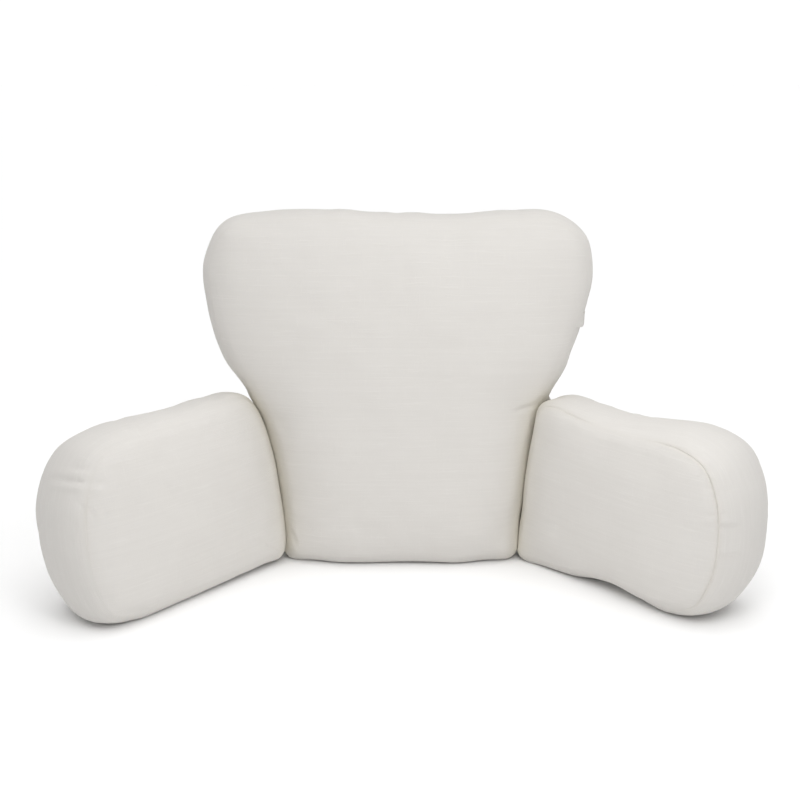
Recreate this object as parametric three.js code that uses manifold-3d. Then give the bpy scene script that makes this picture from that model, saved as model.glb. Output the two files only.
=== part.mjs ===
// A stroller cushion: a waisted back cushion with a boxed arm cushion joined to each of its sides.
// It stands on the floor with its arms open forward. Millimetres, +Z up, the sitter's side towards -Y.
// The origin is the middle of the back cushion's flat base, on the floor.
import * as THREE from "three";
import { mergeVertices } from "three/addons/utils/BufferGeometryUtils.js";
import Module from "manifold-3d";

// How finely the cushions are divided
const BAND_STEPS = 6; // strips across a boxing band
const SEAM_CROWDING = 1.35; // over 1 gathers a face's rings towards its seam
const SEAM_SAMPLES = 360; // points of a seam that a face's dome is measured from

// How every cushion is filled: a face keeps on rising for this far in from its seam, and a leaning
// cushion leaves its flat base over this height.
const DOME_REACH = 34;
const LEAN_FROM = 60;

// Where a neighbour presses a front edge back: how far in from the seam and how far past the
// neighbour's height the pressing fades, and how far out along the cushion it begins
const PRESS = { reach: 20, fade: 18, from: 50, to: 85 };

// Every cushion has two domed faces sewn to a bulging boxing band. `outline` goes round the middle of
// the band, `along` the cushion and `up` from the floor; what falls below the floor is pressed flat.
// `band` and `bulge` are the band's width at `along` 0 and at `over`, and the share of it by which the
// band bulges past its seams.

const BACK = {
  steps: 88, // points round the outline
  rings: 10, // rings from a face's middle to its seam
  band: { near: 52, far: 52, over: 170 },
  bulge: { near: 0.12, far: 0.12 },
  crownFront: 21, // how far the faces dome past their seams
  crownBack: 16,
  lean: 0.12, // slope away from the sitter, mm for each mm up
  heart: { along: 0, up: 168 }, // the middle of the faces
  outline: [
    { along: -94, up: -3 },
    { along: 0, up: -4 },
    { along: 94, up: -3 },
    { along: 108.5, up: 6 },
    { along: 113, up: 40 },
    { along: 122, up: 95 },
    { along: 135, up: 148 },
    { along: 152, up: 182 },
    { along: 166, up: 222 },
    { along: 174, up: 262 },
    { along: 167, up: 296 },
    { along: 142, up: 315 },
    { along: 100, up: 318.5 },
    { along: 48, up: 315.5 },
    { along: 0, up: 317 },
    { along: -60, up: 319 },
    { along: -120, up: 318 },
    { along: -158, up: 308 },
    { along: -176, up: 275 },
    { along: -174, up: 232 },
    { along: -162, up: 190 },
    { along: -139, up: 154 },
    { along: -126.5, up: 124 },
    { along: -118, up: 92 },
    { along: -111, up: 40 },
    { along: -108, up: 6 },
  ],
  swells: [
    { along: 70, up: 250, spread: 60, rise: 3 },
    { along: -80, up: 240, spread: 55, rise: 2 },
    { along: 10, up: 120, spread: 70, rise: -2.5 },
    { along: 114, up: 150, spread: 24, rise: -4 },
    { along: -118, up: 148, spread: 20, rise: -3 },
  ],
  pressed: [
    { side: 1, high: 142, push: 6 }, // by the right arm's end, up to this height
    { side: -1, high: 140, push: 8 }, // by the left arm's end
  ],
};

const ARM_RIGHT = {
  steps: 68,
  rings: 8,
  band: { near: 36, far: 88, over: 230 },
  bulge: { near: 0.07, far: 0.16 },
  crownFront: 13,
  crownBack: 12,
  lean: 0.04,
  heart: { along: 115, up: 80 },
  outline: [
    { along: 3.8, up: 8 },
    { along: 5, up: 60 },
    { along: 10.5, up: 115 },
    { along: 17.5, up: 148 },
    { along: 34, up: 158.5 },
    { along: 62, up: 156.5 },
    { along: 98, up: 154.5 },
    { along: 134, up: 157.5 },
    { along: 172, up: 160 },
    { along: 205, up: 149.5 },
    { along: 224, up: 121 },
    { along: 231, up: 84 },
    { along: 227, up: 43 },
    { along: 207, up: 8 },
    { along: 172, up: -4 },
    { along: 136, up: 0 },
    { along: 104, up: 4 },
    { along: 60, up: -3 },
    { along: 13, up: -1 },
  ],
  swells: [
    { along: 120, up: 85, spread: 50, rise: 2 },
    { along: 60, up: 40, spread: 40, rise: -1.5 },
  ],
};

// The left arm is listed as it runs, away from the back towards -X.
const ARM_LEFT = {
  steps: 68,
  rings: 8,
  band: { near: 36, far: 88, over: 230 },
  bulge: { near: 0.07, far: 0.16 },
  crownFront: 14,
  crownBack: 12,
  lean: 0.2,
  heart: { along: -112, up: 78 },
  outline: [
    { along: -5.5, up: 17 },
    { along: -3, up: 60 },
    { along: -7, up: 113 },
    { along: -15.4, up: 142.5 },
    { along: -28, up: 157.5 },
    { along: -58, up: 159.5 },
    { along: -92, up: 158 },
    { along: -130, up: 156.5 },
    { along: -165, up: 155 },
    { along: -198, up: 145 },
    { along: -221, up: 114 },
    { along: -229, up: 76 },
    { along: -226, up: 38 },
    { along: -210, up: 5 },
    { along: -175, up: -4 },
    { along: -126, up: -3 },
    { along: -76, up: 0 },
    { along: -34, up: 2 },
    { along: -12, up: 5 },
  ],
  swells: [
    { along: -110, up: 85, spread: 50, rise: 2 },
    { along: -50, up: 30, spread: 45, rise: -4 },
  ],
};

// Where the arms' hinge ends stand beside the back, and the degrees by which each opens forward
const PLACE_RIGHT = { x: 118, y: 8, spread: -41 };
const PLACE_LEFT = { x: -109, y: -0.5, spread: 41.5 };

const GAP = 0.37; // clearance between pieces that meet

// The doubled cloth strip that joins each arm to the back: `reach` is wide enough to meet both
const HINGE = { thick: 2.4, low: 7, high: 152, reach: 48, y: 12 };

// The folded tape tab that wraps the back's right side: its middle, and its height, depth and thickness
const TAB = { along: 166, up: 224, y: 12, height: 12, deep: 20, thick: 1.6 };

const CLOTH = new THREE.MeshStandardMaterial({ color: "#e5e1da", roughness: 0.95, metalness: 0 });
const TAPE = new THREE.MeshStandardMaterial({ color: "#ebe7e0", roughness: 0.8, metalness: 0 });

const wasm = await Module();
wasm.setup();

// Evenly spaced points of a closed outline, anticlockwise seen from the front, with outward normals.
function walkOutline(outline, steps) {
  const anchors = outline.map((row) => new THREE.Vector2(row.along, row.up));
  const ordered = THREE.ShapeUtils.area(anchors) < 0 ? anchors.reverse() : anchors;
  const curve = new THREE.CatmullRomCurve3(
    ordered.map((p) => new THREE.Vector3(p.x, p.y, 0)),
    true,
    "centripetal",
  );
  return curve
    .getSpacedPoints(steps)
    .slice(0, steps)
    .map((point, i) => {
      const tangent = curve.getTangentAt(i / steps);
      return { along: point.x, up: point.y, outAlong: tangent.y, outUp: -tangent.x };
    });
}

// The boxing band's width, which changes steadily along the cushion, and how far it bulges.
function bandWidth({ band }, along) {
  const share = Math.min(Math.abs(along) / band.over, 1);
  return THREE.MathUtils.lerp(band.near, band.far, share);
}

function bandBulge(cushion, along) {
  const share = Math.min(Math.abs(along) / cushion.band.over, 1);
  return THREE.MathUtils.lerp(cushion.bulge.near, cushion.bulge.far, share) * bandWidth(cushion, along);
}

// A point of the band's outline drawn in by a share of the band's bulge: 0 at its middle, 1 at a seam.
function drawnIn(cushion, p, share) {
  const drop = share * bandBulge(cushion, p.along);
  return { along: p.along - p.outAlong * drop, up: p.up - p.outUp * drop };
}

// Unevenness of a face: smooth swells and dents at their places.
function swellAt(swells, along, up) {
  return swells.reduce((sum, s) => {
    const away = ((along - s.along) ** 2 + (up - s.up) ** 2) / s.spread ** 2;
    return sum + s.rise * Math.exp(-away);
  }, 0);
}

// How far a cushion's front is pressed back at a place; `nearness` is 1 at its seam and fades from it.
function pressedBack({ pressed = [] }, along, up, nearness) {
  return pressed.reduce((sum, { side, high, push }) => {
    const beside = THREE.MathUtils.smoothstep(along * side, PRESS.from, PRESS.to);
    const below = 1 - THREE.MathUtils.smoothstep(up, high - PRESS.fade, high + PRESS.fade);
    return sum + push * nearness * beside * below;
  }, 0);
}

// How far a point of a face lies inside its seam, as a smooth field with no ridges towards the corners.
function depthInside(seam, along, up) {
  const pull = seam.reduce((sum, p) => sum + p.spacing / Math.hypot(along - p.along, up - p.up) ** 3, 0);
  return Math.sqrt(2 / pull);
}

// The line on which a face is sewn to the band, with the distance from each point to the next.
function seamLine(cushion) {
  const line = walkOutline(cushion.outline, SEAM_SAMPLES).map((p) => drawnIn(cushion, p, 1));
  return line.map((p, i) => {
    const next = line[(i + 1) % line.length];
    return { ...p, spacing: Math.hypot(next.along - p.along, next.up - p.up) };
  });
}

// The rings of a domed face, from its single middle point out to its seam. `side` is -1 for the front.
function faceRings(cushion, walk, side, crown) {
  const { heart, rings, swells } = cushion;
  const seam = seamLine(cushion);
  const ringAt = (share) =>
    walk.map((p) => {
      const sewn = drawnIn(cushion, p, 1);
      const along = heart.along + (sewn.along - heart.along) * share;
      const up = heart.up + (sewn.up - heart.up) * share;
      const depth = share < 1 ? depthInside(seam, along, up) : 0;
      const dome = 1 - Math.exp(-depth / DOME_REACH);
      const rise = (crown + swellAt(swells, along, up)) * dome;
      const nearness = side < 0 ? Math.exp(-depth / PRESS.reach) : 0;
      const deep = side * (bandWidth(cushion, along) / 2 + rise);
      return new THREE.Vector3(along, deep + pressedBack(cushion, along, up, nearness), up);
    });
  const shares = Array.from({ length: rings }, (_, k) => 1 - (1 - (k + 1) / rings) ** SEAM_CROWDING);
  return [[ringAt(0)[0]], ...shares.map(ringAt)];
}

// The rings across the boxing band, between its two seams.
function bandRings(cushion, walk) {
  return Array.from({ length: BAND_STEPS - 1 }, (_, k) => {
    const across = (2 * (k + 1)) / BAND_STEPS - 1;
    return walk.map((p) => {
      const { along, up } = drawnIn(cushion, p, across ** 2);
      const deep = (across * bandWidth(cushion, along)) / 2;
      return new THREE.Vector3(along, deep + pressedBack(cushion, along, up, Math.max(-across, 0)), up);
    });
  });
}

// Joins rings of points into one closed surface; the first and last rings are single points.
function skin(rings, steps) {
  const positions = rings.flat().flatMap((p) => p.toArray());
  const starts = rings.map((_, k) => rings.slice(0, k).reduce((n, ring) => n + ring.length, 0));
  const at = (k, i) => starts[k] + (rings[k].length === 1 ? 0 : i % steps);
  const index = [];
  for (let k = 0; k + 1 < rings.length; k += 1) {
    for (let i = 0; i < steps; i += 1) {
      if (rings[k + 1].length > 1) index.push(at(k, i), at(k + 1, i), at(k + 1, i + 1));
      if (rings[k].length > 1) index.push(at(k, i), at(k + 1, i + 1), at(k, i + 1));
    }
  }
  const geometry = new THREE.BufferGeometry();
  geometry.setAttribute("position", new THREE.Float32BufferAttribute(positions, 3));
  geometry.setIndex(index);
  geometry.computeVertexNormals();
  return geometry;
}

// A filled cushion in its own frame, grown outwards by `grow`. It stands flat on the floor, and above
// that its lean slides it away from the sitter and tips its faces and band to match.
function cushionGeometry(cushion, grow = 0) {
  const walk = walkOutline(cushion.outline, cushion.steps);
  const front = faceRings(cushion, walk, -1, cushion.crownFront);
  const back = faceRings(cushion, walk, 1, cushion.crownBack);
  const geometry = skin([...front, ...bandRings(cushion, walk), ...back.reverse()], cushion.steps);
  const position = geometry.getAttribute("position");
  const normal = geometry.getAttribute("normal");
  for (let i = 0; i < position.count; i += 1) {
    const x = position.getX(i) + normal.getX(i) * grow;
    const y = position.getY(i) + normal.getY(i) * grow;
    const z = Math.max(position.getZ(i) + normal.getZ(i) * grow, -grow);
    const tip = y * cushion.lean * (1 - Math.exp(-Math.max(z, 0) / LEAN_FROM));
    position.setXYZ(i, x, y + Math.max(z, 0) * cushion.lean, z - tip);
  }
  geometry.computeVertexNormals();
  return geometry;
}

function toSolid(geometry) {
  const bare = geometry.clone().deleteAttribute("normal").deleteAttribute("uv");
  const merged = mergeVertices(bare, 1e-4);
  return new wasm.Manifold(
    new wasm.Mesh({
      numProp: 3,
      vertProperties: merged.getAttribute("position").array,
      triVerts: new Uint32Array(merged.getIndex().array),
    }),
  );
}

function toGeometry(solid) {
  const { vertProperties, triVerts } = solid.getMesh();
  const geometry = new THREE.BufferGeometry();
  geometry.setAttribute("position", new THREE.BufferAttribute(vertProperties, 3));
  geometry.setIndex(new THREE.BufferAttribute(triVerts, 1));
  geometry.computeVertexNormals();
  return geometry;
}

// Where an arm stands, its hinge end beside the back.
function armPlace({ x, y, spread }) {
  return new THREE.Matrix4().makeRotationZ(THREE.MathUtils.degToRad(spread)).setPosition(x, y, 0);
}

function named(name, geometry, material) {
  const mesh = new THREE.Mesh(geometry, material);
  mesh.name = name;
  return mesh;
}

function armMesh(name, cushion, place) {
  const mesh = named(name, cushionGeometry(cushion), CLOTH);
  mesh.applyMatrix4(armPlace(place));
  return mesh;
}

// The joining strip: an upright slab between the back's side and the arm's end, cut clear of both.
function hingeMesh(name, cushion, place) {
  const slab = new THREE.BoxGeometry(HINGE.reach, HINGE.thick, HINGE.high - HINGE.low);
  slab.translate(place.x, HINGE.y, (HINGE.high + HINGE.low) / 2);
  const arm = cushionGeometry(cushion, GAP).applyMatrix4(armPlace(place));
  const strip = toSolid(slab)
    .subtract(toSolid(cushionGeometry(BACK, GAP)))
    .subtract(toSolid(arm));
  return named(name, toGeometry(strip), CLOTH);
}

// The side tab lies along the band, a tape's thickness proud of it.
function tabMesh(name) {
  const over = toSolid(cushionGeometry(BACK, GAP + TAB.thick));
  const under = toSolid(cushionGeometry(BACK, GAP));
  const cut = new THREE.BoxGeometry(2 * TAB.deep, TAB.deep, TAB.height);
  cut.translate(TAB.along, TAB.y, TAB.up);
  return named(name, toGeometry(over.subtract(under).intersect(toSolid(cut))), TAPE);
}

const cushionSet = new THREE.Group();
cushionSet.add(named("back_cushion", cushionGeometry(BACK), CLOTH));
cushionSet.add(armMesh("arm_right", ARM_RIGHT, PLACE_RIGHT));
cushionSet.add(armMesh("arm_left", ARM_LEFT, PLACE_LEFT));
cushionSet.add(hingeMesh("hinge_right", ARM_RIGHT, PLACE_RIGHT));
cushionSet.add(hingeMesh("hinge_left", ARM_LEFT, PLACE_LEFT));
cushionSet.add(tabMesh("side_tab"));

export default cushionSet;
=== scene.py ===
# A stroller cushion in ivory linen: a waisted back cushion with a boxed arm cushion at each side.
# Blender works in metres, +Z up, the sitter's side towards -Y. Tables and sizes of the cushions are in
# millimetres, as on a maker's pattern, and become metres where a mesh is made.
import math

import bpy
import numpy as np
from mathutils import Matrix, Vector
from mathutils.bvhtree import BVHTree
from mathutils.kdtree import KDTree


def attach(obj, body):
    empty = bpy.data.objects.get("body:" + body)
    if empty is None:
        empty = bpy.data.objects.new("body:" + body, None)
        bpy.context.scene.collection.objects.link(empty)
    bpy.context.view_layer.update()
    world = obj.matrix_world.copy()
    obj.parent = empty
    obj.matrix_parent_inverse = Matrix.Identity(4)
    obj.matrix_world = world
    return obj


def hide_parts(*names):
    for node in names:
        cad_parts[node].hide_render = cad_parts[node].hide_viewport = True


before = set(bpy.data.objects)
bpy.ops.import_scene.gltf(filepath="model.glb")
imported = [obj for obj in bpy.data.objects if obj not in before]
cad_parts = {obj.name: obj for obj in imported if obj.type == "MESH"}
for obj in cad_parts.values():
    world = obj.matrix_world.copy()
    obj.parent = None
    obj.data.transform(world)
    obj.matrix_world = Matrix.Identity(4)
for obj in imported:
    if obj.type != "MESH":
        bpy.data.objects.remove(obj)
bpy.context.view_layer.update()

MM = 0.001

# How finely outlines and covers are divided
SPAN_SAMPLES = 60  # points of an outline between two rows of its table
OUTLINE_SAMPLES = 3600  # evenly spaced points of a whole outline
FIELD_STRIDE = 5  # every so many of them measure a face's dome
FIELD_BATCH = 1500  # points that are measured at a time
NEVER_ZERO = 1e-6  # keeps a divisor off 0
FINE = {"spacing": 2.4, "margins": (8, 5.6, 3.9, 2.7, 1.8, 1.1, 0.5)}
COARSE = {"spacing": 5.5, "margins": (5.5,)}

# How every cushion is filled
DOME_REACH = 34.0  # a face keeps rising for this far in from its seam
DOME_BLEND = (1.5, 8.0)  # closer to a seam than this, the dome follows the plain distance to it
LEAN_FROM = 60.0  # a leaning cushion leaves its flat base over this height
LEAN_ROUNDS = 8  # rounds in which a leaning point's upright place is found

# Where a neighbour presses a front edge back: how far in from the seam and how far past the neighbour's
# height the pressing fades, and how far out along the cushion it begins
PRESS = {"reach": 20.0, "fade": 18.0, "from": 50.0, "to": 85.0}

# Each cushion's outline goes round the middle of its boxing band: (along, up) from the floor. Its band and
# bulge are the band's width and the share of it that the band bulges past its seams, at the cushion's
# near end and at the place `over`. A pressed row is (side, high, push).
# A swell is (along, up, spread, rise). A crease is a soft trough, or a ridge where its depth is negative:
# three points that it goes through (along, deep, up), and its width and depth. How far the front seam
# shows is a share everywhere and another near each row (along, up, reach, share). A filled end is pushed
# out against the neighbour by so much, and a full corner is (along, up, reach, push).
BACK = {
    "band": (52, 52),
    "bulge": (0.12, 0.12),
    "over": 170,
    "crowns": (21, 16),
    "lean": 0.12,
    "heart": (0, 168),
    "outline": (
        (-94, -3), (0, -4), (94, -3), (108.5, 6), (113, 40), (122, 95), (135, 148), (152, 182),
        (166, 222), (174, 262), (167, 296), (142, 315), (100, 318.5), (48, 315.5), (0, 317), (-60, 319),
        (-120, 318), (-158, 308), (-176, 275), (-174, 232), (-162, 190), (-139, 154), (-126.5, 124),
        (-118, 92), (-111, 40), (-108, 6),
    ),
    "swells": (
        (70, 250, 60, 3), (-80, 240, 55, 2), (10, 120, 70, -2.5), (114, 150, 24, -4), (-118, 148, 20, -3),
    ),
    "pressed": ((1, 142, 6), (-1, 140, 8)),
    "creases": (
        ((103, -34, 143), (117, -30, 146), (133, -20, 151), 1.8, 2.0),
        ((108, -36, 152), (122, -31, 154), (136, -22, 158), 3.4, -0.7),
        ((112, -32, 138), (112, -31, 120), (108, -30, 96), 5.0, 0.9),
        ((-108, -24, 31), (-102, -27, 25), (-96, -29, 17), 1.8, 1.5),
        ((-106, -24, 37), (-100, -28, 31), (-93, -30, 23), 2.0, -1.0),
        ((-108, -24, 21), (-104, -26, 17), (-97, -28, 11), 2.0, -1.0),
        ((-116, -30, 140), (-108, -33, 128), (-100, -35, 112), 5.0, 0.7),
    ),
    "seam": {"groove": 0.3, "lip": 0.05, "pucker": 0.3},
    "shows": (0.15, ((-114, 80, 75, 0), (116, 80, 75, 0))),
    "filled_end": 0,
    "full": ((-106, 10, 14, 1), (105, 8, 14, 3.5)),
    "seed": 3,
}

ARM = {"band": (36, 88), "bulge": (0.07, 0.16), "over": 230, "pressed": (), "filled_end": 3.2}

ARM_RIGHT = {
    **ARM,
    "crowns": (13, 12),
    "lean": 0.04,
    "heart": (115, 80),
    "outline": (
        (3.8, 8), (5, 60), (10.5, 115), (17.5, 148), (34, 158.5), (62, 156.5), (98, 154.5),
        (134, 157.5), (172, 160), (205, 149.5), (224, 121), (231, 84), (227, 43), (207, 8), (172, -4),
        (136, 0), (104, 4), (60, -3), (13, -1),
    ),
    "swells": ((120, 85, 50, 2), (60, 40, 40, -1.5)),
    "creases": (
        ((214, -42, 99), (220, -35, 98), (224, -22, 97), 2.0, -0.8),
        ((214, -42, 94), (220, -35, 93), (224, -22, 92), 2.0, 0.9),
        ((216, -43, 74), (222, -36, 73), (226, -20, 72), 2.0, -0.8),
        ((216, -43, 69), (222, -36, 68), (226, -20, 67), 2.0, 1.0),
        ((200, -43, 25), (210, -31, 23), (215, -12, 20), 2.0, 0.9),
        ((112, -33, 15), (119, -34, 18), (128, -35, 17), 2.0, -0.8),
        ((34, -22, 148), (60, -27, 146), (88, -31, 143), 2.6, -0.5),
    ),
    "seam": {"groove": 1.0, "lip": 0.25, "pucker": 0.6},
    "shows": (0.1, ((45, 152, 36, 0.75), (185, 150, 36, 1), (222, 105, 42, 1), (220, 45, 42, 1))),
    "full": ((6, 6, 13, 3), (22, 152, 14, 2.5)),
    "seed": 11,
}

# The left arm runs away from the back towards -X.
ARM_LEFT = {
    **ARM,
    "crowns": (14, 12),
    "lean": 0.2,
    "heart": (-112, 78),
    "outline": (
        (-5.5, 17), (-3, 60), (-7, 113), (-15.4, 142.5), (-28, 157.5), (-58, 159.5), (-92, 158),
        (-130, 156.5), (-165, 155), (-198, 145), (-221, 114), (-229, 76), (-226, 38), (-210, 5),
        (-175, -4), (-126, -3), (-76, 0), (-34, 2), (-12, 5),
    ),
    "swells": ((-110, 85, 50, 2), (-50, 30, 45, -4)),
    "creases": (
        ((-220, 2, 126), (-208, -32, 123), (-188, -47, 119), 1.6, 1.7),
        ((-221, 2, 120), (-210, -31, 117), (-192, -46, 113), 2.2, -1.0),
        ((-219, 2, 132), (-206, -33, 129), (-190, -46, 125), 2.4, -0.7),
        ((-214, -22, 137), (-205, -34, 134), (-194, -43, 131), 1.8, 0.9),
        ((-212, -30, 108), (-207, -36, 101), (-205, -38, 90), 1.6, 0.8),
        ((-208, -38, 107), (-202, -42, 100), (-200, -43, 90), 1.8, -0.8),
        ((-203, -43, 106), (-197, -45, 99), (-195, -46, 89), 1.6, 0.7),
    ),
    "seam": {"groove": 0.4, "lip": 0.08, "pucker": 0.5},
    "shows": (0.05, ((-222, 95, 32, 0.6),)),
    "full": (),
    "seed": 19,
}

# Where an arm's hinge end stands beside the back, and the degrees by which it opens forward
PLACE_BACK = (0, 0, 0)
PLACE_RIGHT = (118, 8, -41)
PLACE_LEFT = (-109, -0.5, 41.5)

# The doubled cloth strips that join the arms to the back, sewn a little way into both covers. A strip
# stands at y and starts low over the floor. Above the height `widens` its arm edge goes out towards the
# shoulder. Its slack cloth waves, as (pitch, start, share), and sags most at its top.
STRIP = {"rows": 64, "across": 12, "thick": 2.0, "rim": (16, 0.02), "y": 12.0, "low": 2.5, "sunk": 0.7}
STRIP_EDGE = {"inside": 60, "beside": 3, "widens": 105}
STRIP_SLACK = {"wave": 0.7, "waves": ((9, 0, 1), (4.3, 1, 0.6)), "sag": 2.0, "at_top": 12}
STRIP_NEAR = 0.35  # how near its cloth counts as being to the covers, where 1 is touching
STRIPS = (
    {"name": "strip_right", "node": "hinge_right", "side": 1, "shoulder": 140, "on_back": 153, "on_arm": 149},
    {"name": "strip_left", "node": "hinge_left", "side": -1, "shoulder": 133, "on_back": 142, "on_arm": 140},
)

# The folded tape tab on the back's right side: its front end is sewn into the seam, its rear part lies on
# the cover and its lower edge stands free
TAB = {"y": (2, 22), "z": (218, 230), "rows": 25, "across": 33, "thick": 1.5, "sunk": 0.9, "off": 2.1}
TAB_FREE = (0, 0.5)  # shares of its depth over which its lower edge comes free
TAB_REAR = {"from": (0.3, 0.6), "lies": 0.1}  # shares of its depth, and how high its middle lies there
TAB_RIMS = {"across": (12, 0.04), "rows": (14, 0.04)}
TAB_OUTSIDE = 260  # a place to the right of the back

SLAB_CUT = (60, 0)  # how far from a thin piece's one side its other side was cut out of the roll

# The cover's seams: a rounded edge with a groove between two rolled lips, and the puckers that cross it
ROUND = 11.0  # how far from a seam its edge is rounded
END_FILL = {"along": (8.0, 32.0), "from_seam": 14.0}  # where a filled end is pushed out
IRON = {"reach": 6.0, "smoothings": 30, "seam": 0.9}  # edges are smoothed where their seams don't show
REAR_SEAM = {"groove": 0.9, "lip": 0.22, "pucker": 0.5, "shows": 0.65}  # alike on every cushion
REAR_FROM = (0.0, 12.0)  # how far behind the band's middle the front seam's finish becomes the rear's
SEAM_LINE = 2.0  # how far the painted shade along a seam spreads
GROOVE_WIDTH = 0.8
LIP = {"away": 2.4, "width": 1.5}
PUCKER = {"reach": 7.0, "shortest": 8.0, "longest": 26.0, "waves": 26, "lost_in_groove": 0.6}
GATHER = {"even": 0.55, "swing": 0.45, "times": (3, 6)}  # puckers gather 3 to 5 times round a seam
CREASE = {"samples": 33, "tip": 0.02, "fade": 0.6, "within": 60}  # how it fades at its ends, and its reach
UNEVEN = (
    {"height": 0.55, "shortest": 60.0, "longest": 130.0, "waves": 10},
    {"height": 0.16, "shortest": 20.0, "longest": 42.0, "waves": 22},
)

# The cloth simulation that fills a cover, and how much of its movement is kept
CLOTH = {"frames": 20, "pressure": 4.0, "mass": 0.25, "stiffness": 18.0, "bending": 0.6, "quality": 5}
HELD = (0.5, 8.0)  # the floor holds a cover at the first height, and no longer at the second
SLACK = {"start": 3.0, "panel": -0.035, "seam": 0.03}  # mm smaller at first; shares longer or shorter
WRINKLE = {"smoothings": 28, "gain": 0.3, "cap": 1.0}
CARRY = {"nearest": 5, "soften": 1.5, "fade": 3}  # how a fine cover follows the points of a coarse one

CLEAR = {"room": 0.7, "reach": 14, "margin": 10}  # a finished cover keeps this room to its neighbour
NEAR = {"reach": 9.0, "every": 3}  # how far the warmer light between two covers spreads


def out_along(cushion, key, along):
    """A size of a cushion that changes steadily from its near end outwards."""
    near, far = cushion[key]
    return near + (far - near) * np.minimum(np.abs(along) / cushion["over"], 1)


def band_width(cushion, along):
    return out_along(cushion, "band", along)


def walked(points):
    """How far along a line each of its points lies."""
    return np.concatenate([[0], np.cumsum(np.linalg.norm(np.diff(points, axis=0), axis=1))])


def closed_curve(anchors):
    """A dense closed centripetal Catmull-Rom line through the anchors, anticlockwise and evenly spaced."""
    points = np.array(anchors, float)
    turned = np.roll(points, -1, axis=0)
    if np.sum(points[:, 0] * turned[:, 1] - turned[:, 0] * points[:, 1]) < 0:
        points = points[::-1]
    p0, p1, p2, p3 = (np.roll(points, shift, axis=0)[:, None] for shift in (1, 0, -1, -2))

    def knot(start, a, b):
        return start + np.linalg.norm(b - a, axis=2, keepdims=True) ** 0.5

    t0 = np.zeros((len(points), 1, 1))
    t1 = knot(t0, p0, p1)
    t2 = knot(t1, p1, p2)
    t3 = knot(t2, p2, p3)
    t = t1 + (t2 - t1) * np.linspace(0, 1, SPAN_SAMPLES, endpoint=False)[None, :, None]

    def between(a, b, ta, tb):
        return a + (b - a) * (t - ta) / (tb - ta)

    a1, a2, a3 = between(p0, p1, t0, t1), between(p1, p2, t1, t2), between(p2, p3, t2, t3)
    b1, b2 = between(a1, a2, t0, t2), between(a2, a3, t1, t3)
    line = between(b1, b2, t1, t2).reshape(-1, 2)
    closed = np.vstack([line, line[:1]])
    reached = walked(closed)
    wanted = np.linspace(0, reached[-1], OUTLINE_SAMPLES, endpoint=False)
    even = np.stack([np.interp(wanted, reached, closed[:, axis]) for axis in (0, 1)], axis=1)
    return even, reached[-1]


def pattern_of(cushion):
    """The outline, which way is out of it, and the line on which the faces are sewn to the band."""
    line, length = closed_curve(cushion["outline"])
    ahead = np.roll(line, -1, axis=0) - np.roll(line, 1, axis=0)
    ahead /= np.linalg.norm(ahead, axis=1, keepdims=True)
    out = np.stack([ahead[:, 1], -ahead[:, 0]], axis=1)
    width = band_width(cushion, line[:, 0])[:, None]
    drop = out_along(cushion, "bulge", line[:, 0])[:, None] * width
    # how sharply the cover turns at its seam: the tangent of half the angle between face and band
    domed = math.atan(sum(cushion["crowns"]) / 2 / DOME_REACH)
    corner = np.tan((math.pi / 2 - domed - np.arctan(4 * drop / width)) / 2)
    return {
        "line": line,
        "out": out,
        "drop": drop,
        "corner": corner,
        "seam": line - out * drop,
        "length": length,
    }


def at(samples, turns):
    """A closed line's samples, read at shares of the way round."""
    place = np.mod(turns, 1) * len(samples)
    low = place.astype(int) % len(samples)
    part = (place - np.floor(place))[:, None]
    return samples[low] * (1 - part) + samples[(low + 1) % len(samples)] * part


def depth_inside(seam, points):
    """How far points lie inside the seam, as a smooth field with no ridges towards the corners."""
    ring = seam[::FIELD_STRIDE]
    spacing = np.linalg.norm(np.roll(ring, -1, axis=0) - ring, axis=1)
    depths = []
    for part in np.array_split(points, max(1, len(points) // FIELD_BATCH)):
        away = np.linalg.norm(part[:, None] - ring[None], axis=2)
        pull = np.sum(spacing / (away**3 + NEVER_ZERO), axis=1)  # 2 / depth squared by a straight seam
        depths.append(np.sqrt(2 / pull))
    return np.concatenate(depths)


def smooth_step(value, low, high):
    share = np.clip((value - low) / (high - low), 0, 1)
    return share * share * (3 - 2 * share)


def swell_at(cushion, along, up):
    total = np.zeros_like(along)
    for place, height, spread, rise in cushion["swells"]:
        total += rise * np.exp(-((along - place) ** 2 + (up - height) ** 2) / spread**2)
    return total


def pressed_back(cushion, along, up, nearness):
    """How far a front is pressed back at its places; nearness is 1 at its seam and fades from it."""
    total = np.zeros_like(along)
    for side, high, push in cushion["pressed"]:
        beside = smooth_step(along * side, PRESS["from"], PRESS["to"])
        below = 1 - smooth_step(up, high - PRESS["fade"], high + PRESS["fade"])
        total += push * nearness * beside * below
    return total


class Rows:
    """The rows of points that a cover is made of, with what each point needs to know of its seam."""

    def __init__(self):
        self.points, self.turns, self.gaps, self.panels = [], [], [], []
        self.count = 0

    def add(self, points, turns, gap, panel):
        """Adds one row and returns its points' numbers."""
        self.points.append(points)
        self.turns.append(turns)
        self.gaps.append(np.broadcast_to(gap, turns.shape))
        self.panels.append(np.full(len(turns), panel))
        numbers = np.arange(self.count, self.count + len(turns))
        self.count += len(turns)
        return numbers


FRONT, BAND, BEHIND = 0, 1, 2

# Where each panel was cut from the roll, so that no two show the same threads
PANEL_START = {FRONT: np.array((0.0, 0.0)), BAND: np.array((300.0, 900.0)), BEHIND: np.array((900.0, 400.0))}


def ring_turns(ring):
    """A ring of a face's square grid, as shares of the way round: 8 more points for every ring."""
    return np.arange(8 * ring) / (8 * ring) if ring else np.zeros(1)


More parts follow.
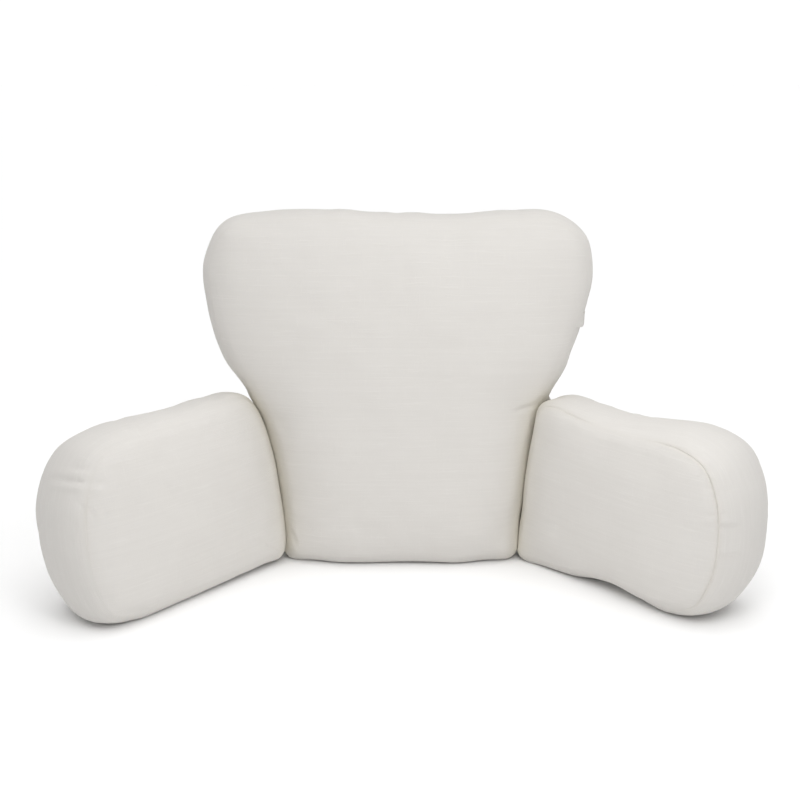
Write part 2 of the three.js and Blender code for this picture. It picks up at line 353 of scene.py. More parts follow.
def face_rows(rows, cushion, pattern, panel, fineness, rings):
    """A face's rows from its middle out to the last one short of its seam."""
    margins = fineness["margins"]
    heart = np.array(cushion["heart"], float)
    side, crown = (-1, cushion["crowns"][0]) if panel == FRONT else (1, cushion["crowns"][1])
    inner = pattern["seam"] - pattern["out"] * margins[0]
    flat = []
    for ring in range(rings + 1):
        turns = ring_turns(ring)
        edge = at(inner, turns)
        share = ring / rings
        gap = margins[0] + (1 - share) * np.linalg.norm(edge - heart, axis=1)
        flat.append((heart + (edge - heart) * share, turns, gap))
    for margin in margins[1:]:
        turns = ring_turns(rings)
        flat.append((at(inner, turns) + at(pattern["out"], turns) * (margins[0] - margin), turns, margin))
    places = np.vstack([place for place, _, _ in flat])
    gaps = np.concatenate([np.broadcast_to(gap, turns.shape) for _, turns, gap in flat])
    field = depth_inside(pattern["seam"], places)
    depth = gaps + (field - gaps) * smooth_step(gaps, *DOME_BLEND)
    along, up = places.T
    rise = (crown + swell_at(cushion, along, up)) * (1 - np.exp(-depth / DOME_REACH))
    deep = side * (band_width(cushion, along) / 2 + rise)
    if panel == FRONT:
        deep += pressed_back(cushion, along, up, np.exp(-depth / PRESS["reach"]))
    points = np.stack([along, deep, up], axis=1)
    made = []
    start = 0
    for _, turns, gap in flat:
        made.append(rows.add(points[start : start + len(turns)], turns, gap, panel))
        start += len(turns)
    return made


def band_rows(rows, cushion, pattern, fineness, rings):
    """The boxing band's rows, from the front seam to the rear seam, both included."""
    turns = ring_turns(rings)
    line, out, drop = (at(pattern[key], turns) for key in ("line", "out", "drop"))
    width = band_width(cushion, line[:, 0])
    margins = fineness["margins"]
    middle = int(np.ceil((width.max() - 2 * margins[0]) / fineness["spacing"]))
    beside = [0, *reversed(margins)]
    across = [2 * gap / width - 1 for gap in beside]
    across += [across[-1] * (1 - 2 * step / middle) for step in range(1, middle)]
    across += [-share for share in reversed(across[: len(beside)])]
    made = []
    for share in across:
        flat = line - out * drop * share[:, None] ** 2
        deep = share * band_width(cushion, flat[:, 0]) / 2
        deep += pressed_back(cushion, flat[:, 0], flat[:, 1], np.maximum(-share, 0))
        gap = (1 - np.abs(share)) * width / 2
        made.append(rows.add(np.stack([flat[:, 0], deep, flat[:, 1]], axis=1), turns, gap, BAND))
    return made


def strip_quads(low, high):
    """Quads between two rows of like length, facing outwards where low is nearer the front."""
    return np.stack([low, high, np.roll(high, -1), np.roll(low, -1)], axis=1)


def square_quads(inner, outer):
    """Quads between two rings of a face's square grid, the outer one with 8 points more."""
    ring = len(inner) // 8
    quads = []
    for side in range(4):
        first, corner = 2 * ring * side, (2 * ring + 2) * side
        quads.append((inner[first], outer[corner - 1], outer[corner], outer[corner + 1]))
        for step in range(2 * ring):
            ahead = (first + step + 1) % len(inner)
            past = (corner + step + 2) % len(outer)
            quads.append((inner[first + step], outer[corner + step + 1], outer[past], inner[ahead]))
    return np.array(quads)


def cover_shape(cushion, fineness):
    """A cushion's cover in its own frame: its points, quads, each corner's place on the cloth, and seams."""
    pattern = pattern_of(cushion)
    rings = int(round(pattern["length"] / fineness["spacing"] / 8))
    rows = Rows()
    faces = {
        panel: face_rows(rows, cushion, pattern, panel, fineness, rings) for panel in (FRONT, BEHIND)
    }
    band = band_rows(rows, cushion, pattern, fineness, rings)
    points = np.vstack(rows.points)
    quads, cloth = [], []
    for panel in (FRONT, BEHIND):
        face = faces[panel]
        squares = [square_quads(face[ring], face[ring + 1]) for ring in range(rings)]
        outer = [*face[rings:], band[0] if panel == FRONT else band[-1]]
        strips = [strip_quads(low, high) for low, high in zip(outer, outer[1:])]
        made = np.vstack(squares + strips)
        quads.append(made if panel == FRONT else made[:, ::-1])
        cloth.append(points[quads[-1]][:, :, (0, 2)] + PANEL_START[panel])
    step = np.arange(len(band[0]))
    run = np.stack([step, step, step + 1, step + 1], axis=1) * pattern["length"] / len(step)
    for low, high in zip(band, band[1:]):
        made = strip_quads(low, high)
        quads.append(made)
        cloth.append(np.stack([run, points[made][:, :, 1]], axis=2) + PANEL_START[BAND])
    return {
        "points": stand(cushion, points),
        "turns": np.concatenate(rows.turns),
        "gaps": np.concatenate(rows.gaps),
        "panels": np.concatenate(rows.panels),
        "corner": at(pattern["corner"], np.concatenate(rows.turns))[:, 0],
        "quads": np.vstack(quads),
        "cloth": np.vstack(cloth),
        "length": pattern["length"],
    }


def stand(cushion, points):
    """Presses a cushion flat on the floor and leans it away from the sitter, as its solid does."""
    x, y, z = points.T
    z = np.maximum(z, 0)
    tip = y * cushion["lean"] * (1 - np.exp(-z / LEAN_FROM))
    return np.stack([x, y + z * cushion["lean"], z - tip], axis=1)


def placed(points, place):
    """Points of a cushion's own frame in the row's frame."""
    x, y, degrees = place
    turn = math.radians(degrees)
    cos, sin = math.cos(turn), math.sin(turn)
    spun = np.array(((cos, -sin, 0), (sin, cos, 0), (0, 0, 1)))
    return points @ spun.T + (x, y, 0)


def normals_of(points, quads):
    a, b, c, d = (points[quads[:, corner]] for corner in range(4))
    faces = np.cross(c - a, d - b)
    total = np.stack(
        [
            sum(np.bincount(quads[:, corner], faces[:, axis], len(points)) for corner in range(4))
            for axis in range(3)
        ],
        axis=1,
    )
    return total / np.maximum(np.linalg.norm(total, axis=1, keepdims=True), NEVER_ZERO)


def neighbours_mean(values, quads, times):
    """Values smoothed over the mesh, so many times."""
    pairs = np.vstack([quads[:, (corner, (corner + 1) % 4)] for corner in range(4)])
    pairs = np.unique(np.sort(pairs, axis=1), axis=0)
    one, two = np.concatenate([pairs[:, 0], pairs[:, 1]]), np.concatenate([pairs[:, 1], pairs[:, 0]])
    count = np.bincount(one, minlength=len(values))[:, None]
    for _ in range(times):
        mean = np.stack([np.bincount(one, values[two, axis], len(values)) for axis in range(3)], axis=1)
        values = (values + mean / count) / 2
    return values


def add_object(name, data):
    """A new object in the scene."""
    thing = bpy.data.objects.new(name, data)
    bpy.context.scene.collection.objects.link(thing)
    return thing


def mesh_object(name, points, quads):
    """A mesh object from points in millimetres."""
    mesh = bpy.data.meshes.new(name)
    mesh.vertices.add(len(points))
    mesh.vertices.foreach_set("co", (points * MM).astype(np.float32).ravel())
    mesh.loops.add(quads.size)
    mesh.loops.foreach_set("vertex_index", quads.ravel().astype(np.int32))
    mesh.polygons.add(len(quads))
    mesh.polygons.foreach_set("loop_start", np.arange(0, quads.size, quads.shape[1], dtype=np.int32))
    mesh.polygons.foreach_set("use_smooth", np.ones(len(quads), bool))
    mesh.update(calc_edges=True)
    mesh.validate()
    return add_object(name, mesh)


def group_of(piece, name, weights):
    """A vertex group with its weights in steps of a hundredth."""
    group = piece.vertex_groups.new(name=name)
    rounded = np.round(weights, 2)
    for value in np.unique(rounded[rounded > 0]):
        group.add(np.flatnonzero(rounded == value).tolist(), float(value), "REPLACE")


def simulate(cushion):
    """Fills a loose cover under pressure with Blender's cloth, and returns where it started and its
    wrinkles: its movement less what is smooth, so that the fitted shape stays."""
    coarse = cover_shape(cushion, COARSE)
    start = coarse["points"] - normals_of(coarse["points"], coarse["quads"]) * SLACK["start"]
    piece = mesh_object("loose_cover", start, coarse["quads"])
    on_seam = np.exp(-((coarse["gaps"] / COARSE["spacing"]) ** 2))
    on_floor = 1 - smooth_step(coarse["points"][:, 2], *HELD)
    group_of(piece, "seam", on_seam)
    group_of(piece, "held", on_floor)
    cloth = piece.modifiers.new("Filling", "CLOTH")
    settings = cloth.settings
    settings.quality = CLOTH["quality"]
    settings.mass = CLOTH["mass"]
    settings.tension_stiffness = settings.compression_stiffness = CLOTH["stiffness"]
    settings.bending_stiffness = CLOTH["bending"]
    settings.effector_weights.gravity = 0
    settings.use_pressure = True
    settings.uniform_pressure_force = CLOTH["pressure"]
    settings.vertex_group_mass = "held"
    settings.vertex_group_shrink = "seam"
    settings.shrink_min = SLACK["panel"]
    settings.shrink_max = SLACK["seam"]
    scene = bpy.context.scene
    for number in range(1, CLOTH["frames"] + 1):
        scene.frame_set(number)
    filled = piece.evaluated_get(bpy.context.evaluated_depsgraph_get())
    ended = np.empty(len(start) * 3)
    filled.data.vertices.foreach_get("co", ended)
    scene.frame_set(1)
    mesh = piece.data
    bpy.data.objects.remove(piece)
    bpy.data.meshes.remove(mesh)
    moved = ended.reshape(-1, 3) / MM - start
    wrinkles = (moved - neighbours_mean(moved, coarse["quads"], WRINKLE["smoothings"])) * WRINKLE["gain"]
    size = np.linalg.norm(wrinkles, axis=1, keepdims=True)
    return coarse["points"], wrinkles * WRINKLE["cap"] / (WRINKLE["cap"] + size)


def tree_of(points):
    """A search tree of points."""
    tree = KDTree(len(points))
    for number, point in enumerate(points):
        tree.insert(point, number)
    tree.balance()
    return tree


def carried(sources, values, points):
    """Values known at some points, read at others from the nearest few."""
    tree = tree_of(sources)
    found = np.array([[(n, d) for _, n, d in tree.find_n(point, CARRY["nearest"])] for point in points])
    near, away = found[:, :, 0].astype(int), found[:, :, 1]
    weights = 1 / (away + CARRY["soften"]) ** CARRY["fade"]
    weights /= weights.sum(axis=1, keepdims=True)
    return np.einsum("ij,ijk->ik", weights, values[near])


def round_waves(turns, length, sizes, draws):
    """Waves that go round a closed seam a whole number of times, gathered in places."""
    total = np.zeros_like(turns)
    for _ in range(sizes["waves"]):
        cycles = round(length / draws.uniform(sizes["shortest"], sizes["longest"]))
        total += np.sin(2 * np.pi * (cycles * turns + draws.random())) / np.sqrt(sizes["waves"])
    gathers = np.sin(2 * np.pi * (draws.integers(*GATHER["times"]) * turns + draws.random()))
    return total * (GATHER["even"] + GATHER["swing"] * gathers)


def space_waves(points, sizes, draws):
    """Smooth unevenness with no direction."""
    total = np.zeros(len(points))
    for _ in range(sizes["waves"]):
        heading = draws.normal(size=3)
        heading *= 2 * np.pi / draws.uniform(sizes["shortest"], sizes["longest"]) / np.linalg.norm(heading)
        total += np.sin(points @ heading + draws.uniform(0, 2 * np.pi)) / np.sqrt(sizes["waves"])
    return total * sizes["height"]


def crease_depth(crease, points, normals):
    """A soft trough along a bent line on the surface, fading out at both ends."""
    *through, width, depth = crease
    a, b, c = (np.array(point, float) for point in through)
    shares = np.linspace(0, 1, CREASE["samples"])[:, None]
    bend = 2 * b - (a + c) / 2
    line = (1 - shares) ** 2 * a + 2 * shares * (1 - shares) * bend + shares**2 * c
    under = np.linalg.norm(points[:, None] - line[None], axis=2).argmin(axis=0)
    rise = np.sum((points[under] - line) * normals[under], axis=1, keepdims=True)
    line += normals[under] * rise
    away = np.linalg.norm(points[:, None] - line[None], axis=2)
    nearest = away.argmin(axis=1)
    fade = np.sin(np.pi * np.clip(shares[nearest, 0], CREASE["tip"], 1 - CREASE["tip"])) ** CREASE["fade"]
    return depth * fade * np.exp(-((away.min(axis=1) / width) ** 2))


def behind(flat):
    """How far each point belongs to a cushion's rear: 0 on the front seam and 1 on the rear seam."""
    return smooth_step(flat[:, 1], *REAR_FROM)


def shown(cushion, flat):
    """How strongly the seams show at each point."""
    everywhere, rows = cushion["shows"]
    total = np.full(len(flat), float(everywhere))
    for along, up, reach, share in rows:
        away = (flat[:, 0] - along) ** 2 + (flat[:, 2] - up) ** 2
        total += (share - everywhere) * np.exp(-away / reach**2)
    return np.clip(np.maximum(total, REAR_SEAM["shows"] * behind(flat)), 0, 1)


def relief_of(cushion, shape, flat):
    """How far each point of a cover stands out or in from its smooth shape."""
    draws = np.random.default_rng(cushion["seed"])
    gaps, turns, rear_share = shape["gaps"], shape["turns"], behind(flat)
    sewn = {key: size + (REAR_SEAM[key] - size) * rear_share for key, size in cushion["seam"].items()}
    rounding = shape["corner"] * np.maximum(ROUND - gaps, 0) ** 2 / (2 * ROUND)
    in_groove = np.exp(-((gaps / GROOVE_WIDTH) ** 2))
    lip = sewn["lip"] * np.exp(-(((gaps - LIP["away"]) / LIP["width"]) ** 2))
    front = round_waves(turns, shape["length"], PUCKER, draws)
    rear = round_waves(turns, shape["length"], PUCKER, draws)
    is_rear = (shape["panels"] == BEHIND) | ((shape["panels"] == BAND) & (flat[:, 1] > 0))
    fade = np.exp(-gaps / PUCKER["reach"]) * (1 - PUCKER["lost_in_groove"] * in_groove)
    pucker = sewn["pucker"] * np.where(is_rear, rear, front) * fade
    relief = (lip - sewn["groove"] * in_groove + pucker) * shown(cushion, flat) - rounding
    by_end = 1 - smooth_step(np.abs(flat[:, 0]), *END_FILL["along"])
    by_seam = np.exp(-((gaps / END_FILL["from_seam"]) ** 2))
    relief += cushion["filled_end"] * by_end * by_seam
    for along, up, reach, push in cushion["full"]:
        relief += push * by_seam * np.exp(-((flat[:, 0] - along) ** 2 + (flat[:, 2] - up) ** 2) / reach**2)
    for sizes in UNEVEN:
        relief += space_waves(flat, sizes, draws)
    normals = normals_of(flat, shape["quads"])
    for crease in cushion["creases"]:
        near = np.flatnonzero(np.linalg.norm(flat - crease[1], axis=1) < CREASE["within"])
        relief[near] -= crease_depth(crease, flat[near], normals[near])
    return relief


def unleaned(cushion, points):
    """Points of a standing cushion as they were before it leaned."""
    x, y, z = points.T
    high = z.copy()
    for _ in range(LEAN_ROUNDS):
        deep = y - high * cushion["lean"]
        high = z + deep * cushion["lean"] * (1 - np.exp(-np.maximum(high, 0) / LEAN_FROM))
    return np.stack([x, y - high * cushion["lean"], high], axis=1)


def finished_cover(cushion, place):
    """A cushion's cover at its place, with its wrinkles, seams, puckers and creases."""
    shape = cover_shape(cushion, FINE)
    points = shape["points"]
    flat = unleaned(cushion, points)
    points = points + carried(*simulate(cushion), points)
    points = points + normals_of(points, shape["quads"]) * relief_of(cushion, shape, flat)[:, None]
    seen = shown(cushion, flat)
    ironed = np.exp(-((shape["gaps"] / IRON["reach"]) ** 2)) * (1 - IRON["seam"] * seen)
    flattened = neighbours_mean(points, shape["quads"], IRON["smoothings"])
    points += (flattened - points) * ironed[:, None]
    points[:, 2] = np.maximum(points[:, 2], 0)
    shape["points"] = placed(points, place)
    # the seam mark darkens the colour along each seam, strongest where the seam shows: painted shade in its
    # groove
    shape["seam"] = np.exp(-shape["gaps"] / SEAM_LINE) * seen
    return shape


def keep_clear(shape, other):
    """Presses a cover back where it would touch its neighbour's."""
    tree = tree_of(other["points"])
    normals = normals_of(other["points"], other["quads"])
    low = other["points"].min(axis=0) - CLEAR["margin"]
    high = other["points"].max(axis=0) + CLEAR["margin"]
    inside = np.all((shape["points"] > low) & (shape["points"] < high), axis=1)
    for number in np.flatnonzero(inside):
        point = shape["points"][number]
        nearest, found, away = tree.find(point)
        if away < CLEAR["reach"]:
            short = CLEAR["room"] - (point - np.array(nearest)) @ normals[found]
            if short > 0:
                shape["points"][number] = point + normals[found] * short


def mark_near(shapes):
    """Marks how close each cover's points are to the other covers: 1 at them, fading away from them."""
    for shape in shapes:
        others = np.vstack([other["points"][:: NEAR["every"]] for other in shapes if other is not shape])
        tree = tree_of(others)
        away = [tree.find(point)[2] for point in shape["points"]]
        shape["near"] = np.array([math.exp(-gap / NEAR["reach"]) for gap in away])


def cloth_piece(name, shape, node, material):
    """The mesh of a piece, with its cloth coordinates, its seams and how close its neighbours are."""
    piece = mesh_object(name, shape["points"], shape["quads"])
    cloth = piece.data.uv_layers.new(name="cloth")
    cloth.data.foreach_set("uv", (shape["cloth"] * MM).astype(np.float32).ravel())
    for key in ("seam", "near"):
        marks = piece.data.attributes.new(key, "FLOAT", "POINT")
        marks.data.foreach_set("value", shape[key].astype(np.float32))
    piece.data.materials.append(material)
    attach(piece, "root")
    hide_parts(node)
    return piece


def skin_tree(shape):
    """A search tree of a cover's surface."""
    return BVHTree.FromPolygons([tuple(point) for point in shape["points"]], shape["quads"].tolist())


def slab_shape(middle, half):
    """A closed thin slab round a grid of middle points: its points, quads and each corner's cloth place."""
    rows, across = middle.shape[:2]
    up = np.gradient(middle, axis=0)
    over = np.gradient(middle, axis=1)
    out = np.cross(up, over)
    out /= np.linalg.norm(out, axis=2, keepdims=True)
    points = np.vstack([(middle + out * half).reshape(-1, 3), (middle - out * half).reshape(-1, 3)])
    number = np.arange(rows * across).reshape(rows, across)
    ring = np.concatenate([number[0, :-1], number[:-1, -1], number[-1, :0:-1], number[:0:-1, 0]])
    sheet = np.stack([number[:-1, :-1], number[:-1, 1:], number[1:, 1:], number[1:, :-1]], axis=2)
    sheet = sheet.reshape(-1, 4)
    ahead = np.roll(ring, -1)
    other_side = rows * across
    edge = np.stack([ring, ring + other_side, ahead + other_side, ahead], axis=1)
    quads = np.vstack([sheet[:, ::-1], sheet + other_side, edge])
    corners = points[quads]
    volume = np.sum(corners[:, 0] * np.cross(corners[:, 1] - corners[:, 0], corners[:, 2] - corners[:, 0]))
    if volume < 0:
        quads = quads[:, ::-1]
    along, wide = walked(middle[:, across // 2]), walked(middle[rows // 2])
    flat = np.stack(np.meshgrid(wide, along), axis=2).reshape(-1, 2)
    cloth = np.vstack([flat, flat + SLAB_CUT])
    plain = np.zeros(len(points))
    return {"points": points, "quads": quads, "cloth": cloth[quads], "seam": plain, "near": plain}


def eased(count):
    """Shares from 0 to 1, closer together towards both ends."""
    return (1 - np.cos(np.linspace(0, np.pi, count))) / 2


def rim(shares, sharpness, least):
    """A thin piece's thickness towards its rounded edges, as shares of its whole thickness."""
    return np.sqrt(np.clip(1 - (2 * shares - 1) ** sharpness, least, 1))


def strip_shape(strip, back_tree, arm_tree):
    """A joining strip: sewn to the back's side and to the arm's end at every height."""
    side, shares = strip["side"], eased(STRIP["rows"])
    rows = []
    for share in shares:
        high = STRIP["low"] + (strip["on_back"] - STRIP["low"]) * share
        inside = (side * STRIP_EDGE["inside"], STRIP["y"], high)
        start = back_tree.ray_cast(inside, (side, 0, 0))[0]
        reach = smooth_step(high, STRIP_EDGE["widens"], strip["on_back"])
        guide = (start.x + side * STRIP_EDGE["beside"]) * (1 - reach) + side * strip["shoulder"] * reach
        level = STRIP["low"] + (strip["on_arm"] - STRIP["low"]) * share
        end = arm_tree.find_nearest((guide, STRIP["y"], level))[0]
        run = np.array(end) - np.array(start)
        run /= np.linalg.norm(run)
        rows.append((np.array(start) - run * STRIP["sunk"], np.array(end) + run * STRIP["sunk"]))
    ends = np.array(rows)
    over = np.linspace(0, 1, STRIP["across"])[None, :, None]
    middle = ends[:, None, 0] * (1 - over) + ends[:, None, 1] * over
    slack = np.sin(np.pi * over[..., 0])
    waves = sum(
        share * np.sin(middle[..., 2] / pitch + start) for pitch, start, share in STRIP_SLACK["waves"]
    )
    middle[..., 1] += STRIP_SLACK["wave"] * slack * waves
    middle[..., 2] -= STRIP_SLACK["sag"] * slack * shares[:, None] ** STRIP_SLACK["at_top"]
    half = STRIP["thick"] / 2 * rim(shares, *STRIP["rim"])
    return slab_shape(middle, half[:, None, None])


def strip_piece(strip, back_tree, arm_tree):
    shape = strip_shape(strip, back_tree, arm_tree)
    shape["near"] = np.full(len(shape["points"]), STRIP_NEAR)
    piece = cloth_piece(strip["name"], shape, strip["node"], LINEN)


def tab_shape(back_tree):
    """The folded tape over the band: a thin slab that follows the cover and stands off at its lower end."""
    over, up = eased(TAB["across"]), eased(TAB["rows"])
    middle = np.zeros((TAB["rows"], TAB["across"], 3))
    for row, high in enumerate(TAB["z"][0] + (TAB["z"][1] - TAB["z"][0]) * up):
        for column, deep in enumerate(TAB["y"][0] + (TAB["y"][1] - TAB["y"][0]) * over):
            found, normal = back_tree.ray_cast((TAB_OUTSIDE, deep, high), (-1, 0, 0))[:2]
            free = (1 - up[row]) * smooth_step(over[column], *TAB_FREE)
            rear = smooth_step(over[column], *TAB_REAR["from"])
            sewn = (TAB_REAR["lies"] + TAB["sunk"]) * rear - TAB["sunk"]
            off = sewn + (TAB["off"] - sewn) * free
            middle[row, column] = np.array(found) + np.array(normal) * off
    half = TAB["thick"] / 2 * rim(over, *TAB_RIMS["across"])[None, :]
    half = half * rim(up, *TAB_RIMS["rows"])[:, None]
    return slab_shape(middle, half[..., None])


# The linen's look. Its threads wander by a size, at so many places in a metre. A yarn stands highest where
# it passes over the other, and its height swings about a middle. Streaks are thicker or darker threads: so
# many in a metre each way, and the band of the noise in which one begins and is full.
WANDER = {"per_metre": 110.0, "size": 0.0011}
YARN = {"middle": 0.68, "swing": 0.32}
WEFT_SLUBS = {"per_metre": (34, 820), "band": (0.56, 0.70), "seed": 3.1}
WARP_SLUBS = {"per_metre": (900, 60), "band": (0.60, 0.74), "seed": 7.7}
SHADES = {"per_metre": (9, 420), "band": (0.25, 0.75), "seed": 5.3}
PATCHES_PER_METRE = 22.0
WARP_SHARE = 0.55  # how strong the warp's slubs are, where the weft's are 1
SLUB_HEIGHT = 0.5
TONE = {"plain": 0.36, "slubs": 0.15, "shades": 0.10, "patches": 0.16, "woven": 0.16}

WHITE = (1, 1, 1, 1)
YARN_DARK = (0.612, 0.589, 0.558)
YARN_LIGHT = (0.722, 0.702, 0.673)
# painted shade: the colour along a seam is darkened by this, standing in for the shade in its groove
SEAM_SHADE = (0.93, 0.915, 0.885)
NEAR_TINT = (0.99, 0.965, 0.86)  # where covers nearly touch, light goes to and fro between them and warms
WEAVE_HEIGHT = 0.00012


def feed(tree, node, inputs):
    """Sets a node's inputs: a socket is linked, anything else is a value."""
    for key, value in inputs.items():
        if isinstance(value, bpy.types.NodeSocket):
            tree.links.new(value, node.inputs[key])
        else:
            node.inputs[key].default_value = value


def put(tree, kind, inputs=None, **settings):
    """A new node with its settings and inputs."""
    node = tree.nodes.new(kind)
    for key, value in settings.items():
        setattr(node, key, value)
    feed(tree, node, inputs or {})
    return node


def math_of(tree, operation, one, two=0.0, three=0.0):
    return put(tree, "ShaderNodeMath", {0: one, 1: two, 2: three}, operation=operation).outputs[0]


def vector_of(tree, operation, inputs):
    return put(tree, "ShaderNodeVectorMath", inputs, operation=operation).outputs[0]


def noise_of(tree, place, scale, detail):
    return put(tree, "ShaderNodeTexNoise", {"Vector": place, "Scale": scale, "Detail": detail})


def rising(tree, value, low, high, top=1.0):
    """Rises smoothly from 0 where the value is low to the top where it is high."""
    span = {"Value": value, "From Min": low, "From Max": high, "To Max": top}
    return put(tree, "ShaderNodeMapRange", span, interpolation_type="SMOOTHSTEP").outputs[0]


def streaks(tree, surface, kind):
    """Long or short threads that differ from the rest: 1 on them and 0 elsewhere."""
    stretched = vector_of(tree, "MULTIPLY", {0: surface, 1: (*kind["per_metre"], kind["seed"])})
    moved = vector_of(tree, "ADD", {0: stretched, 1: (0, 0, kind["seed"])})
    return rising(tree, noise_of(tree, moved, scale=1.0, detail=1.5).outputs[0], *kind["band"])


def weave_group():
    """Plain weave with uneven yarn: how light the yarn is and how high it stands, from cloth coordinates."""
    tree = bpy.data.node_groups.new("plain_weave", "ShaderNodeTree")
    for name, way, kind in (
        ("Surface", "INPUT", "NodeSocketVector"),
        ("Thread", "INPUT", "NodeSocketFloat"),
        ("Slubs", "INPUT", "NodeSocketFloat"),
        ("Tone", "OUTPUT", "NodeSocketFloat"),
        ("Relief", "OUTPUT", "NodeSocketFloat"),
    ):
        tree.interface.new_socket(name, in_out=way, socket_type=kind)

    def result(operation, *values):
        return math_of(tree, operation, *values)

    given = tree.nodes.new("NodeGroupInput")
    surface, thread, slubs = (given.outputs[key] for key in ("Surface", "Thread", "Slubs"))
    wander = noise_of(tree, surface, WANDER["per_metre"], detail=1.0)
    centred = vector_of(tree, "SUBTRACT", {0: wander.outputs["Color"], 1: (0.5, 0.5, 0.5)})
    scaled = vector_of(tree, "SCALE", {0: centred, "Scale": WANDER["size"]})
    bent = vector_of(tree, "ADD", {0: surface, 1: scaled})
    counted = vector_of(tree, "SCALE", {0: bent, "Scale": result("DIVIDE", 1.0, thread)})
    split = put(tree, "ShaderNodeSeparateXYZ", {0: counted})
    yarns = []
    for own, other, shift in ((0, 1, -0.5), (1, 0, 0.5)):
        across, along = split.outputs[own], split.outputs[other]
        profile = result("ABSOLUTE", result("SINE", result("MULTIPLY", across, math.pi)))
        place = result("ADD", result("ADD", along, result("FLOOR", across)), shift)
        wave = result("COSINE", result("MULTIPLY", place, math.pi))
        over = result("MULTIPLY_ADD", wave, YARN["swing"], YARN["middle"])
        yarns.append(result("MULTIPLY", profile, over))
    woven = result("MAXIMUM", *yarns)
    weft, warp, shade = (streaks(tree, surface, kind) for kind in (WEFT_SLUBS, WARP_SLUBS, SHADES))
    patch = noise_of(tree, surface, PATCHES_PER_METRE, detail=2.0).outputs[0]
    thick = result("MULTIPLY", result("MULTIPLY_ADD", warp, WARP_SHARE, weft), slubs)
    tone = TONE["plain"]
    for key, part in (("slubs", thick), ("shades", shade), ("patches", patch), ("woven", woven)):
        tone = result("MULTIPLY_ADD", part, TONE[key], tone)
    relief = result("MULTIPLY_ADD", thick, SLUB_HEIGHT, woven)
    put(tree, "NodeGroupOutput", {"Tone": tone, "Relief": relief})
    return tree


WEAVE = weave_group()


def new_material(name):
    """A new material with its node tree and its shader."""
    material = bpy.data.materials.new(name)
    material.use_nodes = True
    return material, material.node_tree, material.node_tree.nodes["Principled BSDF"]


def tinted(tree, colour, mark, tint):
    """A colour that is multiplied by a tint as strongly as the mesh's mark says."""
    strength = put(tree, "ShaderNodeAttribute", attribute_name=mark).outputs["Fac"]
    mixed = put(
        tree, "ShaderNodeMix", data_type="RGBA", blend_type="MULTIPLY", clamp_factor=True,
        inputs={"Factor": strength, "A": colour, "B": (*tint, 1)},
    )
    return mixed.outputs["Result"]


def cloth_material(name, thread, slubs, roughness, sheen):
    """A woven ivory cloth with its thread spacing in metres, and how strongly its slubs show."""
    material, tree, shader = new_material(name)
    place = put(tree, "ShaderNodeUVMap", uv_map="cloth").outputs[0]
    given = {"Surface": place, "Thread": thread, "Slubs": slubs}
    weave = put(tree, "ShaderNodeGroup", given, node_tree=WEAVE)
    yarn = put(
        tree, "ShaderNodeMix", data_type="RGBA", clamp_factor=True,
        inputs={"Factor": weave.outputs["Tone"], "A": (*YARN_DARK, 1), "B": (*YARN_LIGHT, 1)},
    )
    # painted shade: the colour is darkened along the seams, where their grooves lie in shade
    seam_shaded = tinted(tree, yarn.outputs["Result"], "seam", SEAM_SHADE)
    height = {"Strength": 1.0, "Distance": WEAVE_HEIGHT, "Height": weave.outputs["Relief"]}
    feed(tree, shader, {
        "Base Color": tinted(tree, seam_shaded, "near", NEAR_TINT),
        "Normal": put(tree, "ShaderNodeBump", height).outputs[0],
        "Roughness": roughness,
        "Specular IOR Level": 0.25,
        "Sheen Weight": sheen,
        "Sheen Roughness": 0.5,
    })
    return material


LINEN = cloth_material("ivory_linen", thread=0.00075, slubs=1.0, roughness=0.92, sheen=0.12)
TAPE = cloth_material("ivory_tape", thread=0.0005, slubs=0.15, roughness=0.85, sheen=0.05)

# Camera, floor and light
VIEW = {"target": (0, 0, 0.152), "azimuth": 0.0, "elevation": 17.5, "distance": 1.2}
LENS = {"length": 59.56, "sensor": 36, "nearest": 0.01}
TENT = {"left": 0.44, "right": 0.52, "seen": 1.1}
OVERHEAD = {"from": (0.05, -0.05, 1.0), "spread": 70, "strength": 1.69}
FILL = {"at": (0.1, -0.45, 0.45), "aim": (0, 0, 0.12), "size": 0.25, "power": 0.77}
PAPER = {"half": 6.0, "white": 0.97}
GLOW = {"from": 0.3, "to": 0.5, "strength": 0.02}  # away from the cushion, the paper is lit from behind


def set_camera():
    """The camera as it stood for the photo."""
    lens = bpy.data.cameras.new("camera")
    lens.lens = LENS["length"]
    lens.sensor_width = LENS["sensor"]
    lens.clip_start = LENS["nearest"]
    camera = add_object("camera", lens)
    turn, rise = math.radians(VIEW["azimuth"]), math.radians(VIEW["elevation"])
    back = Vector((-math.sin(turn) * math.cos(rise), -math.cos(turn) * math.cos(rise), math.sin(rise)))
    camera.location = Vector(VIEW["target"]) + back * VIEW["distance"]
    camera.rotation_euler = back.to_track_quat("Z", "Y").to_euler()
    bpy.context.scene.camera = camera


def set_floor():
    """A sheet of white paper."""
    half, white = PAPER["half"], PAPER["white"]
    mesh = bpy.data.meshes.new("floor")
    corners = [(-half, -half, 0), (half, -half, 0), (half, half, 0), (-half, half, 0)]
    mesh.from_pydata(corners, [], [(0, 1, 2, 3)])
    floor = add_object("floor", mesh)
    material, tree, shader = new_material("floor_white")
    place = put(tree, "ShaderNodeTexCoord").outputs["Object"]
    away = put(tree, "ShaderNodeVectorMath", {0: place}, operation="LENGTH").outputs["Value"]
    feed(tree, shader, {
        "Base Color": (white, white, white, 1),
        "Roughness": 1.0,
        "Specular IOR Level": 0.0,
        "Emission Color": WHITE,
        "Emission Strength": rising(tree, away, GLOW["from"], GLOW["to"], GLOW["strength"]),
    })
    mesh.materials.append(material)


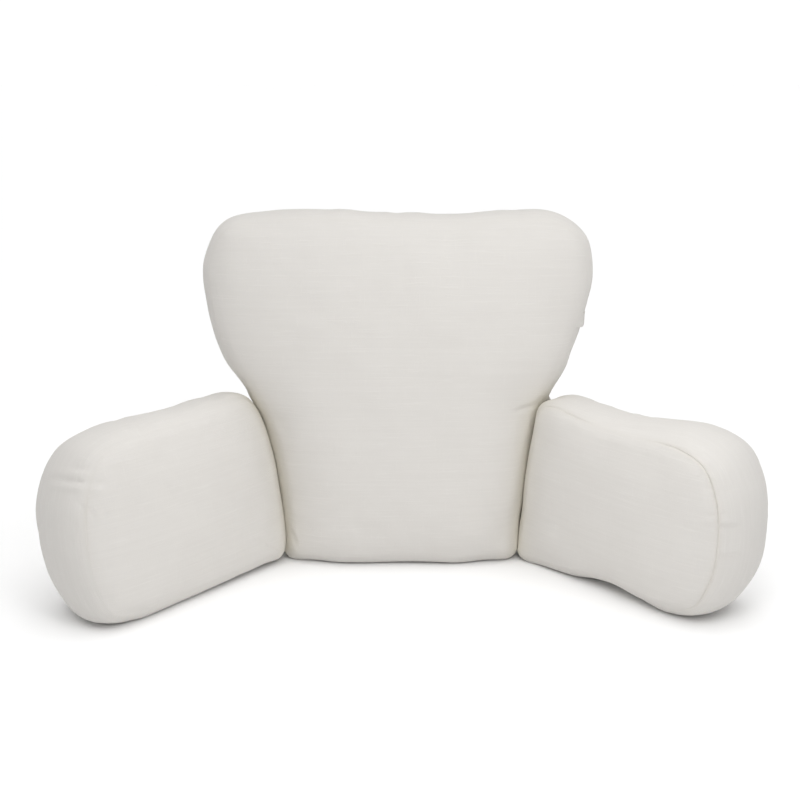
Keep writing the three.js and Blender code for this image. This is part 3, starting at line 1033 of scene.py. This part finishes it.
def set_light():
    """A light tent that is brighter on the right, a wide light overhead and a weak one by the camera."""
    world = bpy.data.worlds.new("studio")
    bpy.context.scene.world = world
    world.use_nodes = True
    tree = world.node_tree
    place = put(tree, "ShaderNodeTexCoord").outputs["Generated"]
    from_left = put(tree, "ShaderNodeSeparateXYZ", {0: place}).outputs[0]
    span = {"Value": from_left, "From Min": -1.0, "To Min": TENT["left"], "To Max": TENT["right"]}
    strength = put(tree, "ShaderNodeMapRange", span).outputs[0]
    tent = tree.nodes["Background"]
    feed(tree, tent, {"Color": WHITE, "Strength": strength})
    paper = put(tree, "ShaderNodeBackground", {"Color": WHITE, "Strength": TENT["seen"]})
    seen = put(tree, "ShaderNodeLightPath").outputs["Is Camera Ray"]
    either = put(tree, "ShaderNodeMixShader", {0: seen, 1: tent.outputs[0], 2: paper.outputs[0]})
    feed(tree, tree.nodes["World Output"], {"Surface": either.outputs[0]})
    sky = bpy.data.lights.new("overhead", "SUN")
    sky.angle = math.radians(OVERHEAD["spread"])
    sky.energy = OVERHEAD["strength"]
    lamp = add_object("overhead", sky)
    lamp.rotation_euler = Vector(OVERHEAD["from"]).to_track_quat("Z", "Y").to_euler()
    fill = bpy.data.lights.new("fill", "AREA")
    fill.size = FILL["size"]
    fill.energy = FILL["power"]
    panel = add_object("fill", fill)
    panel.location = FILL["at"]
    panel.rotation_euler = (Vector(FILL["at"]) - Vector(FILL["aim"])).to_track_quat("Z", "Y").to_euler()
    bpy.context.scene.view_settings.view_transform = "Standard"


set_camera()
set_floor()
set_light()

back = finished_cover(BACK, PLACE_BACK)
right = finished_cover(ARM_RIGHT, PLACE_RIGHT)
left = finished_cover(ARM_LEFT, PLACE_LEFT)
for arm in (right, left):
    keep_clear(arm, back)
mark_near((back, right, left))
for name, shape, node, fill in (
    ("back_cover", back, "back_cushion", 0.85),
    ("arm_right_cover", right, "arm_right", 0.8),
    ("arm_left_cover", left, "arm_left", 0.8),
):
    cloth_piece(name, shape, node, LINEN)
back_tree = skin_tree(back)
for strip, arm in zip(STRIPS, (right, left)):
    strip_piece(strip, back_tree, skin_tree(arm))
cloth_piece("folded_tab", tab_shape(back_tree), "side_tab", TAPE)
